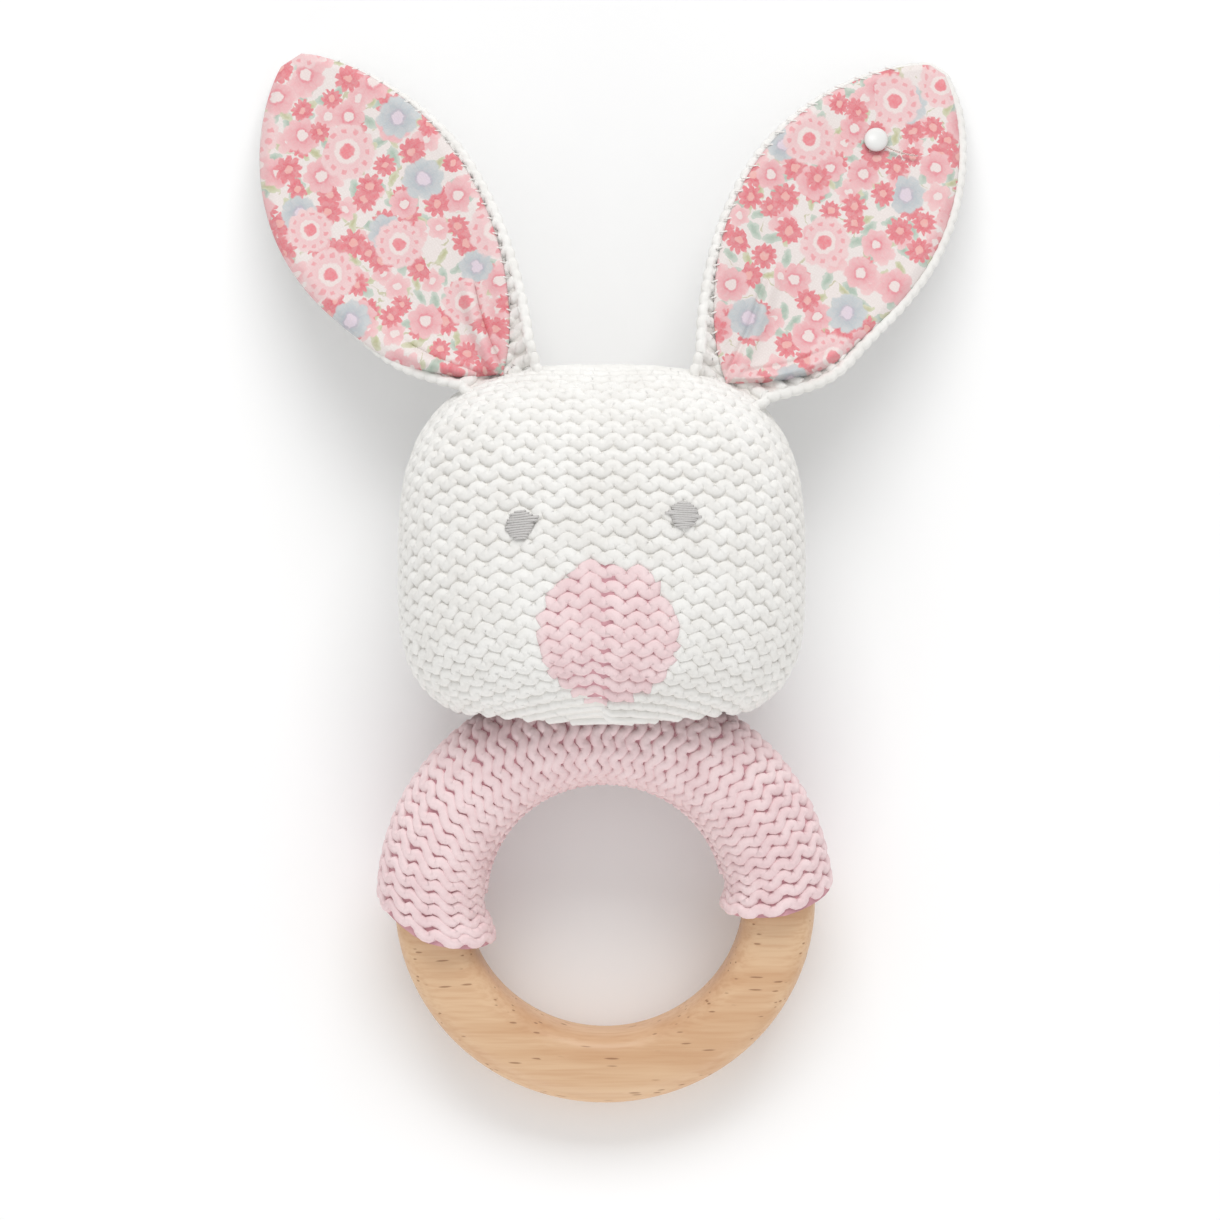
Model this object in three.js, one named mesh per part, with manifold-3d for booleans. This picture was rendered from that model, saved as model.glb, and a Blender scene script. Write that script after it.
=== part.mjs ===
// Knitted bunny rattle on a wooden teething ring, lying on its back with its face up.
// Millimetres. +X is to the right of the face, +Y runs from the ring to the ears, and +Z is
// up out of the face. The assembly is built about the wooden ring's centre in plan, and is
// moved at the end so that the origin is the centre of the bottom of its box.
import * as THREE from 'three';
import { mergeVertices } from 'three/addons/utils/BufferGeometryUtils.js';
import Module from 'manifold-3d';

const wasm = await Module();
wasm.setup();

const UP = new THREE.Vector3(0, 0, 1);
const RIGHT = new THREE.Vector3(1, 0, 0);
const GAP = 0.3; // air kept between neighbouring solids

function roundedSquare(half, power, angle) {
  const [c, s] = [Math.cos(angle), Math.sin(angle)];
  const r = half / (Math.abs(c) ** power + Math.abs(s) ** power) ** (1 / power);
  return [r * c, r * s];
}

// How far the tilted section of the wood reaches below its own centre.
function reachBelow(tilt) {
  let reach = 0;
  for (let k = 0; k < ring.sides; k++) {
    const [x, y] = roundedSquare(ring.tube, ring.squareness, (k / ring.sides) * 2 * Math.PI);
    reach = Math.max(reach, x * Math.sin(tilt) + y * Math.cos(tilt));
  }
  return reach;
}

// ---------- driving dimensions ----------
const ring = {
  outer: 35, // outer radius of the wood
  tube: 6, // half the width and half the thickness of its section
  squareness: 3.2, // superellipse power of the section: flats with soft bevels
  sides: 16, // points round the section
  tilt: THREE.MathUtils.degToRad(15), // droop of the ring from the neck to the surface
};
ring.centreline = ring.outer - ring.tube;
ring.height = ring.centreline * Math.sin(ring.tilt) + reachBelow(ring.tilt);

const sleeve = {
  inner: ring.tube + 0.4,
  outer: 9.1,
  flare: 0.9, // how much wider the cuffs are
  flareLength: THREE.MathUtils.degToRad(9),
  start: THREE.MathUtils.degToRad(-1), // the cuff on the right
  end: THREE.MathUtils.degToRad(191), // the cuff on the left
  startSlant: THREE.MathUtils.degToRad(4),
  endSlant: THREE.MathUtils.degToRad(-10),
};

const neck = {
  y: ring.centreline * Math.cos(ring.tilt),
  z: ring.height + ring.centreline * Math.sin(ring.tilt),
  nod: THREE.MathUtils.degToRad(45), // how far the ring swings forward
  channel: 12.8, // radius of the hollow that the neck leaves in the stuffing
};

const head = {
  x: -0.5,
  y: 54.5, // height of the widest row
  z: 24,
  halfWidth: 33.9,
  halfDepth: 25,
  above: 34.1, // from the widest row to the crown
  below: 26.7, // from the widest row to the chin
  crownPower: 3,
  chinPower: 3.4,
  depthPower: 2.4,
  rowPower: 2.3, // superellipse power of each horizontal row
  cloth: 1.8, // thickness of the knitted cover
};

const nose = { x: 0.3, y: 44.2, radius: 11.5 };
const eyes = {
  left: { x: -13.9, y: 61.8 },
  right: { x: 13, y: 63.4 },
};
const eye = { halfWidth: 2.2, halfHeight: 2.7, thickness: 0.8 };

const box = { x: -0.5, y: 58, z: 24, radius: 13, halfHeight: 8, wall: 1.2 };
const pellet = { count: 6, radius: 2, orbit: 7 };

// Border is the knit that shows past the print's inner edge.
const ears = {
  left: { side: -1, x: -17.3, y: 87.2, lean: 33.2, length: 63.4, outer: 18.3, inner: 13.2, border: 2 },
  right: { side: 1, x: 20.2, y: 85.4, lean: 33.9, length: 64, outer: 16.6, inner: 16.2, border: 1.2 },
};
const ear = {
  baseHeight: 28,
  tipHeight: 2.9,
  knit: 2, // thickness of the knitted back
  print: 0.8, // thickness of the printed front
  air: 0.6, // between the two cloths, which curve
  thread: 0.4, // radius of the seam's thread
  outerBorder: 1.2, // knit that shows past the print's outer edge
  root: 4.2, // half the width of the gathered base
  cupBase: 4, // how much the edges stand above the middle at the base
  cupTip: 0.8,
  fold: THREE.MathUtils.degToRad(80), // how far an ear folds forward
  from: 0.03, // the cloth starts this share of the length from the hinge
};
const tag = { along: 0.747, across: -2, radius: 2, height: 1.4, tail: 5.6, filament: 0.3 };

// ---------- solids ----------
function solidOf(geometry) {
  const bare = geometry.clone();
  bare.deleteAttribute('normal');
  bare.deleteAttribute('uv');
  const merged = mergeVertices(bare, 1e-4);
  return new wasm.Manifold(new wasm.Mesh({
    numProp: 3,
    vertProperties: new Float32Array(merged.attributes.position.array),
    triVerts: new Uint32Array(merged.index.array),
  }));
}

function geometryOf(solid) {
  const mesh = solid.getMesh();
  const geometry = new THREE.BufferGeometry();
  geometry.setAttribute('position', new THREE.BufferAttribute(new Float32Array(mesh.vertProperties), 3));
  geometry.setIndex(new THREE.BufferAttribute(new Uint32Array(mesh.triVerts), 1));
  geometry.computeVertexNormals();
  return geometry;
}

function moved(solid, matrix) {
  return solid.transform([...matrix.elements]);
}

// A closed solid through closed loops of the same number of points, with a fan over each end.
function loft(loops) {
  const count = loops[0].length;
  const points = loops.flat();
  const triangles = [];
  for (let i = 0; i + 1 < loops.length; i++) {
    for (let j = 0; j < count; j++) {
      const a = i * count + j;
      const b = i * count + ((j + 1) % count);
      triangles.push(a, b, b + count, a, b + count, a + count);
    }
  }
  const ends = [[0, true], [(loops.length - 1) * count, false]];
  for (const [first, flip] of ends) {
    const middle = points.length;
    const hub = new THREE.Vector3();
    for (let j = 0; j < count; j++) {
      hub.add(points[first + j]);
    }
    points.push(hub.divideScalar(count));
    for (let j = 0; j < count; j++) {
      const a = first + j;
      const b = first + ((j + 1) % count);
      triangles.push(...(flip ? [middle, b, a] : [middle, a, b]));
    }
  }
  return closedSolid(points, triangles);
}

// A thin sheet: the top and bottom points of a grid of rows and columns, and the walls between.
function slab(rows, columns, top, bottom) {
  const points = [];
  for (const face of [top, bottom]) {
    for (let i = 0; i <= rows; i++) {
      for (let j = 0; j <= columns; j++) {
        points.push(face(i / rows, j / columns));
      }
    }
  }
  const wide = columns + 1;
  const under = (rows + 1) * wide;
  const triangles = [];
  for (let i = 0; i < rows; i++) {
    for (let j = 0; j < columns; j++) {
      const a = i * wide + j;
      triangles.push(a, a + 1, a + wide + 1, a, a + wide + 1, a + wide);
      const b = a + under;
      triangles.push(b, b + wide + 1, b + 1, b, b + wide, b + wide + 1);
    }
  }
  const rim = [];
  for (let j = 0; j < columns; j++) rim.push(j);
  for (let i = 0; i < rows; i++) rim.push(i * wide + columns);
  for (let j = columns; j > 0; j--) rim.push(rows * wide + j);
  for (let i = rows; i > 0; i--) rim.push(i * wide);
  rim.forEach((a, k) => {
    const b = rim[(k + 1) % rim.length];
    triangles.push(a, a + under, b + under, a, b + under, b);
  });
  return closedSolid(points, triangles);
}

// Faces may have been listed either way round: the volume says which way is out.
function closedSolid(points, triangles) {
  let volume = 0;
  for (let k = 0; k < triangles.length; k += 3) {
    const [a, b, c] = [points[triangles[k]], points[triangles[k + 1]], points[triangles[k + 2]]];
    volume += a.dot(b.clone().cross(c));
  }
  const order = volume > 0 ? triangles : triangles.map((_, k) => triangles[k - (k % 3) + [0, 2, 1][k % 3]]);
  return new wasm.Manifold(new wasm.Mesh({
    numProp: 3,
    vertProperties: new Float32Array(points.flatMap((p) => p.toArray())),
    triVerts: new Uint32Array(order),
  }));
}

function lathe(outline, segments) {
  const profile = outline.map(([x, y]) => new THREE.Vector2(x, y));
  const geometry = new THREE.LatheGeometry(profile, segments);
  return solidOf(geometry.rotateX(Math.PI / 2));
}

function yarn(points, radius, steps, closed = false) {
  const curve = new THREE.CatmullRomCurve3(points, closed);
  const section = new THREE.Shape();
  const sides = 6;
  for (let k = 0; k < sides; k++) {
    const angle = (k / sides) * 2 * Math.PI;
    section[k ? 'lineTo' : 'moveTo'](radius * Math.cos(angle), radius * Math.sin(angle));
  }
  return solidOf(new THREE.ExtrudeGeometry(section, { steps, extrudePath: curve }));
}

// ---------- ring and sleeve ----------
// Turns the ring's own flat frame into the drooping one.
const ringPlace = new THREE.Matrix4()
  .makeTranslation(0, 0, ring.height)
  .multiply(new THREE.Matrix4().makeRotationX(ring.tilt));

function woodRing() {
  const outline = [];
  for (let k = 0; k <= ring.sides; k++) {
    const angle = ((k % ring.sides) / ring.sides) * 2 * Math.PI;
    const [x, y] = roundedSquare(ring.tube, ring.squareness, angle);
    outline.push([ring.centreline + x, y]);
  }
  return moved(lathe(outline, 64), ringPlace);
}

// A stretch of tube along the ring's centreline: half(share, angle) is its half-width there.
function ringTube(steps, sides, startAt, endAt, half) {
  const loops = [];
  for (let i = 0; i <= steps; i++) {
    const loop = [];
    for (let j = 0; j < sides; j++) {
      const around = (j / sides) * 2 * Math.PI;
      const from = startAt(Math.cos(around));
      const along = from + (endAt(Math.cos(around)) - from) * (i / steps);
      const [across, up] = half(along, around);
      const r = ring.centreline + across;
      loop.push(new THREE.Vector3(r * Math.cos(along), r * Math.sin(along), up));
    }
    loops.push(loop);
  }
  return loft(loops);
}

function sleeveRadius(along) {
  const fromEnd = Math.min(along - sleeve.start, sleeve.end - along);
  const flare = Math.max(0, 1 - Math.max(fromEnd, 0) / sleeve.flareLength);
  return sleeve.outer + sleeve.flare * flare * flare;
}

function roundTube(radius) {
  return (along, around) => [radius(along) * Math.cos(around), radius(along) * Math.sin(around)];
}

function ringSleeve() {
  const body = ringTube(
    36, 20,
    (outward) => sleeve.start + sleeve.startSlant * outward,
    (outward) => sleeve.end + sleeve.endSlant * outward,
    roundTube(sleeveRadius),
  );
  const past = 0.5;
  const bore = ringTube(
    40, 16,
    () => sleeve.start - past,
    () => sleeve.end + past,
    (along, around) => roundedSquare(sleeve.inner, ring.squareness, around),
  );
  return moved(body.subtract(bore), ringPlace);
}

// The yarn that closes the sleeve runs along its inside edge, in the hole of the ring.
function sleeveSeam() {
  const radius = 0.5;
  const r = ring.centreline - sleeve.outer - GAP - radius;
  const margin = THREE.MathUtils.degToRad(14);
  const points = [];
  for (let k = 0; k <= 24; k++) {
    const along = sleeve.start + margin + (sleeve.end - sleeve.start - 2 * margin) * (k / 24);
    points.push(new THREE.Vector3(r * Math.cos(along), r * Math.sin(along), 0));
  }
  return moved(yarn(points, radius, 40), ringPlace);
}

// The space that the sleeve needs as the ring swings forward about the neck, with some air.
function sleeveRoom(air) {
  const bare = moved(
    ringTube(
      14, 20,
      () => THREE.MathUtils.degToRad(35),
      () => THREE.MathUtils.degToRad(145),
      roundTube(() => sleeve.outer + air),
    ),
    ringPlace,
  );
  const steps = 5;
  const swings = [];
  for (let k = 0; k <= steps; k++) {
    const swing = new THREE.Matrix4()
      .makeTranslation(0, neck.y, neck.z)
      .multiply(new THREE.Matrix4().makeRotationX((-neck.nod * k) / steps))
      .multiply(new THREE.Matrix4().makeTranslation(0, -neck.y, -neck.z));
    swings.push(moved(bare, swing));
  }
  return wasm.Manifold.union(swings);
}

// ---------- head ----------
// The head's outside, or its surface at some depth inside: rows of superellipses.
function headRow(rise, inset) {
  const power = rise > 0 ? head.crownPower : head.chinPower;
  const size = Math.abs(rise);
  const reach = rise > 0 ? head.above : head.below;
  return {
    y: head.y + Math.sign(rise) * size * (reach - inset),
    width: (head.halfWidth - inset) * (1 - size ** power) ** (1 / power),
    depth: (head.halfDepth - inset) * (1 - size ** head.depthPower) ** (1 / head.depthPower),
  };
}

function headSolid(inset, rows = 22, sides = 40) {
  const loops = [];
  for (let i = 1; i < rows; i++) {
    const tilt = -Math.PI / 2 + (Math.PI * i) / rows;
    const rise = Math.sign(tilt) * Math.abs(Math.sin(tilt)) ** (2 / head.crownPower);
    const row = headRow(rise, inset);
    const loop = [];
    for (let j = 0; j < sides; j++) {
      const turn = (j / sides) * 2 * Math.PI;
      const [c, s] = [Math.cos(turn), Math.sin(turn)];
      const x = Math.sign(c) * Math.abs(c) ** (2 / head.rowPower) * row.width;
      const z = Math.sign(s) * Math.abs(s) ** (2 / head.rowPower) * row.depth;
      loop.push(new THREE.Vector3(head.x + x, row.y, head.z + z));
    }
    loops.push(loop);
  }
  return loft(loops).trimByPlane([0, 0, 1], inset);
}

// The height of the face at a point in plan.
function faceHeight(x, y, inset = 0) {
  const reach = (y > head.y ? head.above : head.below) - inset;
  const row = headRow((y - head.y) / reach, inset);
  const across = Math.min(Math.abs((x - head.x) / row.width), 1);
  return head.z + row.depth * (1 - across ** head.rowPower) ** (1 / head.rowPower);
}

function upright(x, y, radius, from, to) {
  const geometry = new THREE.CylinderGeometry(radius, radius, to - from, 40);
  return solidOf(geometry.rotateX(Math.PI / 2).translate(x, y, (from + to) / 2));
}

const neckRoom = sleeveRoom(0.5);

function headCover() {
  return headSolid(0).subtract(headSolid(head.cloth)).subtract(neckRoom);
}

function noseHole(radius) {
  return upright(nose.x, nose.y, radius, head.z, head.z + 2 * head.halfDepth);
}

// Loose fibre, packed in from behind and in front of the rattle box.
function stuffing(front) {
  const channel = moved(
    solidOf(new THREE.CylinderGeometry(neck.channel, neck.channel, 3 * head.halfWidth, 28)),
    new THREE.Matrix4().makeTranslation(0, neck.y, neck.z).multiply(
      new THREE.Matrix4().makeRotationZ(Math.PI / 2),
    ),
  );
  const packed = headSolid(head.cloth + GAP, 18, 32).subtract(channel);
  const pocket = upright(
    box.x, box.y, box.radius + GAP, box.z - box.halfHeight - GAP, box.z + box.halfHeight + GAP,
  );
  const share = front ? 1 : -1;
  return packed.subtract(pocket).trimByPlane([0, 0, share], share * box.z + GAP / 2);
}

// A satin-stitched oval pad on the face.
function eyePad({ x, y }) {
  const at = (u, v, lift) => {
    const tilt = (0.04 + 0.92 * u) * Math.PI;
    const px = x + eye.halfWidth * Math.sin(tilt) * (2 * v - 1);
    const py = y - eye.halfHeight * Math.cos(tilt);
    return new THREE.Vector3(px, py, faceHeight(px, py) + lift);
  };
  return slab(8, 6, (u, v) => at(u, v, GAP + eye.thickness), (u, v) => at(u, v, GAP));
}

// Whipping along the crown, between the ears.
function crownSeam() {
  const radius = 0.5;
  const points = [];
  for (let k = -6; k <= 6; k++) {
    const x = head.x + k * 2;
    const drop = head.above * (1 - (1 - Math.abs((x - head.x) / head.halfWidth) ** head.crownPower)
      ** (1 / head.crownPower));
    points.push(new THREE.Vector3(x, head.y + head.above - drop + GAP + radius, head.z));
  }
  return yarn(points, radius, 24);
}

// The yarn that sews the head's opening to the sleeve: a loop inside the opening.
function neckSeam() {
  const radius = 0.7;
  const away = sleeve.outer + 1.8;
  const spread = THREE.MathUtils.degToRad(48);
  const reach = THREE.MathUtils.degToRad(17);
  const points = [];
  for (let k = 0; k < 16; k++) {
    const turn = (k / 16) * 2 * Math.PI;
    const along = Math.PI / 2 + reach * Math.cos(turn);
    const around = spread * Math.sin(turn);
    const r = ring.centreline + away * Math.cos(around);
    points.push(new THREE.Vector3(r * Math.cos(along), r * Math.sin(along), away * Math.sin(around)));
  }
  return moved(yarn(points, radius, 48, true), ringPlace);
}

// ---------- rattle box ----------
// A cup with its mouth towards +Z or -Z; the two halves meet at a lip.
function rattleHalf(side) {
  const [r, h, w] = [box.radius, box.halfHeight, box.wall];
  const outline = [
    [0, -h], [r - 1, -h], [r, -h + 1], [r, -GAP / 2], [r - w, -GAP / 2], [r - w, w - h], [0, w - h],
  ];
  const place = new THREE.Matrix4()
    .makeTranslation(box.x, box.y, box.z)
    .multiply(new THREE.Matrix4().makeScale(1, side, side));
  return moved(lathe(outline, 40), place);
}

function pelletBall(index) {
  const angle = (index / pellet.count) * 2 * Math.PI;
  const floor = box.z - box.halfHeight + box.wall + GAP + pellet.radius;
  const geometry = new THREE.SphereGeometry(pellet.radius, 12, 8);
  geometry.translate(
    box.x + pellet.orbit * Math.cos(angle),
    box.y + pellet.orbit * Math.sin(angle),
    floor,
  );
  return solidOf(geometry);
}

// ---------- ears ----------
// The shape of a leaf, 0 at both ends and 1 at its widest.
function leaf(along) {
  const widest = 0.52;
  return (along / widest) ** 0.85 * ((1 - along) / (1 - widest)) ** 0.78;
}

// One ear's directions and its cloth surface: along runs from 0 at the base to 1 at the tip,
// and across is in millimetres, positive towards the outside.
function earFrame(place) {
  const lean = THREE.MathUtils.degToRad(place.lean) * place.side;
  const forward = new THREE.Vector3(Math.sin(lean), Math.cos(lean), 0);
  const outward = new THREE.Vector3(place.side * Math.cos(lean), -place.side * Math.sin(lean), 0);
  const at = (along, across, lift) => {
    const half = place.outer * leaf(Math.min(along, 0.995)) + ear.root;
    const cup = ear.cupTip + (ear.cupBase - ear.cupTip) * (1 - along);
    const z = THREE.MathUtils.lerp(ear.baseHeight, ear.tipHeight, along) + cup * (across / half) ** 2;
    return new THREE.Vector3(place.x, place.y, z + lift)
      .addScaledVector(forward, along * place.length)
      .addScaledVector(outward, across);
  };
  return { forward, outward, at };
}

function earSheet(place, from, to, edge, low, high) {
  const { at } = earFrame(place);
  const point = (u, v, lift) => {
    const along = from + (to - from) * (1 - (1 - u) ** 1.4);
    const across = THREE.MathUtils.lerp(-edge(along, 'inner'), edge(along, 'outer'), v);
    return at(along, across, lift);
  };
  return slab(18, 8, (u, v) => point(u, v, high), (u, v) => point(u, v, low));
}

function printEdge(place) {
  return (along, side) => place[side] * leaf(along) + 0.3;
}

// The knit's border keeps its width on the outer side. On the inner side it narrows towards the tip.
function knitEdge(place) {
  const print = printEdge(place);
  return (along, side) => {
    const [border, taper] = side === 'outer' ? [ear.outerBorder, 12] : [place.border, 2.2];
    return print(along, side)
      + border * Math.min(1, taper * (1.01 - along))
      + ear.root * (1 - along) ** 6;
  };
}

// The hinge line lies across the base of the ear. Positive angles fold the ear forward.
function earHinge(place) {
  const { forward } = earFrame(place);
  return {
    axis: forward.clone().cross(UP).normalize(),
    point: new THREE.Vector3(place.x, place.y, ear.baseHeight),
  };
}

// The head as the folding ear sees it, so that the ear's base clears it at every angle.
function headRoom(place) {
  const { axis, point } = earHinge(place);
  const clear = headSolid(-0.45, 16, 28);
  const steps = 8;
  const turns = [];
  for (let k = 0; k <= steps; k++) {
    const turn = new THREE.Matrix4()
      .makeTranslation(...point.toArray())
      .multiply(new THREE.Matrix4().makeRotationAxis(axis, (-ear.fold * k) / steps))
      .multiply(new THREE.Matrix4().makeTranslation(...point.clone().negate().toArray()));
    turns.push(moved(clear, turn));
  }
  return wasm.Manifold.union(turns);
}

function largest(solid) {
  const parts = solid.decompose();
  return parts.reduce((best, part) => (part.volume() > best.volume() ? part : best));
}

function earKnit(place) {
  const sheet = earSheet(place, ear.from, 0.998, knitEdge(place), -ear.knit, 0);
  return largest(sheet.subtract(headRoom(place)));
}

function earPrint(place) {
  const sheet = earSheet(place, ear.from, 0.985, printEdge(place), ear.air, ear.air + ear.print);
  return largest(sheet.subtract(headRoom(place)));
}

// Sewing thread just outside the edge of the print, open at the base.
function earThread(place) {
  const { at } = earFrame(place);
  const edge = printEdge(place);
  const away = GAP + ear.thread + 0.2;
  const [from, to, count] = [0.16, 0.985, 18];
  const outline = [];
  for (const [side, sign] of [['inner', -1], ['outer', 1]]) {
    const stretch = [];
    for (let k = 0; k <= count; k++) {
      const along = from + (to - from) * (1 - (1 - k / count) ** 1.4);
      stretch.push(new THREE.Vector2(along * place.length, sign * edge(along, side)));
    }
    outline.push(...(side === 'inner' ? stretch : stretch.reverse()));
  }
  const points = outline.map((point, k) => {
    const before = outline[Math.max(k - 1, 0)];
    const after = outline[Math.min(k + 1, outline.length - 1)];
    const way = after.clone().sub(before).normalize();
    const along = (point.x + way.y * away) / place.length;
    return at(along, point.y - way.x * away, ear.air + ear.thread);
  });
  return yarn(points, ear.thread, 60);
}

// The head of a plastic swing-tag loop and a short end of its filament, flat on the print.
function tagPin(place) {
  const { at } = earFrame(place);
  const lift = ear.air + ear.print + GAP;
  const base = at(tag.along, tag.across, lift);
  const along = at(tag.along + 0.03, tag.across, lift).sub(base).normalize();
  const up = at(tag.along, tag.across + 2, lift).sub(base).normalize().cross(along);
  up.multiplyScalar(Math.sign(up.z));
  const across = up.clone().cross(along);
  const standing = new THREE.Matrix4().makeBasis(across, along, up).setPosition(base);
  const [r, h] = [tag.radius, tag.height];
  const dome = lathe([[0, 0], [r, 0], [r, 0.35 * h], [0.8 * r, 0.75 * h], [0.45 * r, 0.95 * h], [0, h]], 20);
  const tail = yarn([
    new THREE.Vector3(0, 0, 0.5 * h),
    new THREE.Vector3(-0.6 * tag.tail, 0, 0.6 * h),
    new THREE.Vector3(-tag.tail, 0, 0.4 * h),
  ], tag.filament, 8);
  return moved(dome.add(tail), standing);
}

// ---------- the assembly ----------
function paint(hex, roughness = 0.9, metalness = 0) {
  return new THREE.MeshStandardMaterial({ color: new THREE.Color(hex), roughness, metalness });
}

const finish = {
  beech: paint('#d9b48c', 0.55),
  pinkYarn: paint('#f3d4da'),
  whiteYarn: paint('#f4f2ec'),
  floralCotton: paint('#f6c9cd'),
  greyThread: paint('#b9b7b5', 0.6),
  whiteThread: paint('#fbfaf7', 0.7),
  fibre: paint('#fafafa'),
  boxPlastic: paint('#eef0f2', 0.5),
  pelletPlastic: paint('#d8dde2', 0.35),
  tagPlastic: paint('#ffffff', 0.3),
};

const assembly = new THREE.Group();

function put(name, solid, material) {
  const mesh = new THREE.Mesh(geometryOf(solid), material);
  mesh.name = name;
  assembly.add(mesh);
}

put('wood_ring', woodRing(), finish.beech);
put('ring_sleeve', ringSleeve(), finish.pinkYarn);
put('sleeve_seam_yarn', sleeveSeam(), finish.pinkYarn);

const cover = headCover();
put('head_cover', cover.subtract(noseHole(nose.radius + GAP)), finish.whiteYarn);
put('nose_panel', cover.intersect(noseHole(nose.radius)), finish.pinkYarn);
put('crown_seam_yarn', crownSeam(), finish.whiteYarn);
put('neck_seam_yarn', neckSeam(), finish.whiteYarn);
put('stuffing_front', stuffing(true), finish.fibre);
put('stuffing_back', stuffing(false), finish.fibre);
put('rattle_box_back', rattleHalf(1), finish.boxPlastic);
put('rattle_box_front', rattleHalf(-1), finish.boxPlastic);
for (let k = 0; k < pellet.count; k++) {
  put(`rattle_pellet_${k + 1}`, pelletBall(k), finish.pelletPlastic);
}
for (const [side, place] of Object.entries(eyes)) {
  put(`eye_${side}`, eyePad(place), finish.greyThread);
}
for (const [side, place] of Object.entries(ears)) {
  put(`ear_${side}_knit`, earKnit(place), finish.whiteYarn);
  put(`ear_${side}_print`, earPrint(place), finish.floralCotton);
  put(`ear_${side}_thread`, earThread(place), finish.whiteThread);
}
put('tag_pin', tagPin(ears.right), finish.tagPlastic);

const bounds = new THREE.Box3().setFromObject(assembly);
const middle = bounds.getCenter(new THREE.Vector3());
assembly.position.set(-middle.x, -middle.y, -bounds.min.z);

export default assembly;
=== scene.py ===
"""A knitted bunny rattle on a beech teething ring, lying on its back with its face up.

The knitting is modelled yarn by yarn: every row is one strand that waves up and down over
the stitches. Sizes are in millimetres about the wooden ring's centre in plan, as in the
CAD model, and turn into the frame's metres in placed().
"""

import math

import bpy
import numpy as np
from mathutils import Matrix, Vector


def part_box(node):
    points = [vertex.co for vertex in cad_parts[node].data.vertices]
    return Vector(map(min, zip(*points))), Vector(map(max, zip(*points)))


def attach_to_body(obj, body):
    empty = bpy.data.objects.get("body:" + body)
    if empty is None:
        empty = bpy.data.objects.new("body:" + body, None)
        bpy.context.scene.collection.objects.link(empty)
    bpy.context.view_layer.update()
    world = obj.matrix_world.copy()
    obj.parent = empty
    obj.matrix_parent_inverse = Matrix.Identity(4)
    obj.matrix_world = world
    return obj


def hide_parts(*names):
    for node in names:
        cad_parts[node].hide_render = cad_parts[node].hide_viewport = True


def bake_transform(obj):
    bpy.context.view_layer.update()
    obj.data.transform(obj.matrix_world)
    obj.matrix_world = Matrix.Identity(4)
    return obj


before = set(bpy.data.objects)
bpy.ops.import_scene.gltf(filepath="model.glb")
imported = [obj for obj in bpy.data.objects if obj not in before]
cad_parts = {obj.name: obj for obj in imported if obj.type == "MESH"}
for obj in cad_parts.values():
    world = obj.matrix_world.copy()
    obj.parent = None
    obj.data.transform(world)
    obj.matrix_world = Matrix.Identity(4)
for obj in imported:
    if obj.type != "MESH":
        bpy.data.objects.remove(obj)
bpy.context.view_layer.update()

MM = 0.001
TURN = 2 * math.pi
RANDOM_SEED = 7

# ---------- driving dimensions, as in the CAD model ----------
RING_TUBE = 6.0
RING_CENTRELINE = 29.0
RING_SQUARENESS = 3.2
RING_TILT = math.radians(15)

SLEEVE_OUTER = 9.1
SLEEVE_FLARE = 0.9
SLEEVE_FLARE_LENGTH = math.radians(9)
SLEEVE_START = math.radians(-1)
SLEEVE_END = math.radians(191)
SLEEVE_START_SLANT = math.radians(4)
SLEEVE_END_SLANT = math.radians(-10)

NECK_NOD = math.radians(45)

HEAD_X, HEAD_Y, HEAD_Z = -0.5, 54.5, 24.0
HEAD_HALF_WIDTH = 33.9
HEAD_HALF_DEPTH = 25.0
HEAD_ABOVE = 34.1
HEAD_BELOW = 26.7
CROWN_POWER = 3.0
CHIN_POWER = 3.4
DEPTH_POWER = 2.4
ROW_POWER = 2.3

NOSE_X, NOSE_Y, NOSE_RADIUS = 0.3, 44.2, 11.5
EYES = {"left": (-13.9, 61.8), "right": (13.0, 63.4)}
EYE_HALF_WIDTH, EYE_HALF_HEIGHT, EYE_THICKNESS = 2.2, 2.7, 0.8

# The border is the knitting past the cotton's inner edge, roll is how far the cotton laps over
# the outer edge, and belly is how far that edge sags near the root. The cotton's folds have a
# start and end as (along, across), a height and a width.
EARS = {
    "left": {
        "side": -1, "x": -17.3, "y": 87.2, "lean": 33.2, "length": 63.4, "outer": 18.3, "inner": 13.2,
        "border": 1.9, "roll": 0.95, "belly": 1.2,
        "folds": [((-0.5, 1.0), (15.0, 11.6), 1.6, 1.2), ((-1.0, -0.4), (17.0, -5.4), 1.6, 1.1)],
    },
    "right": {
        "side": 1, "x": 20.2, "y": 85.4, "lean": 33.9, "length": 64.0, "outer": 16.6, "inner": 16.2,
        "border": 1.0, "roll": 0.0, "belly": 2.0,
        "folds": [((3.0, 1.4), (17.0, 12.6), 1.9, 1.3), ((0.0, -0.6), (22.0, -6.0), 0.9, 1.3)],
    },
}
EAR_BASE_HEIGHT, EAR_TIP_HEIGHT = 28.0, 2.9
EAR_ROOT = 4.2
EAR_FROM = 0.03  # the root end of the knitting that shows, as a share of the length
EAR_CUP_BASE, EAR_CUP_TIP = 4.0, 0.8
EAR_OUTER_BORDER = 1.2
EAR_AIR = 0.6
COTTON_FROM, COTTON_TO = -0.012, 0.992  # the printed cotton's ends, as shares of the length
GAP = 0.3
TAG_ALONG, TAG_ACROSS, TAG_LIFT = 0.747, -2.0, 1.7

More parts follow.
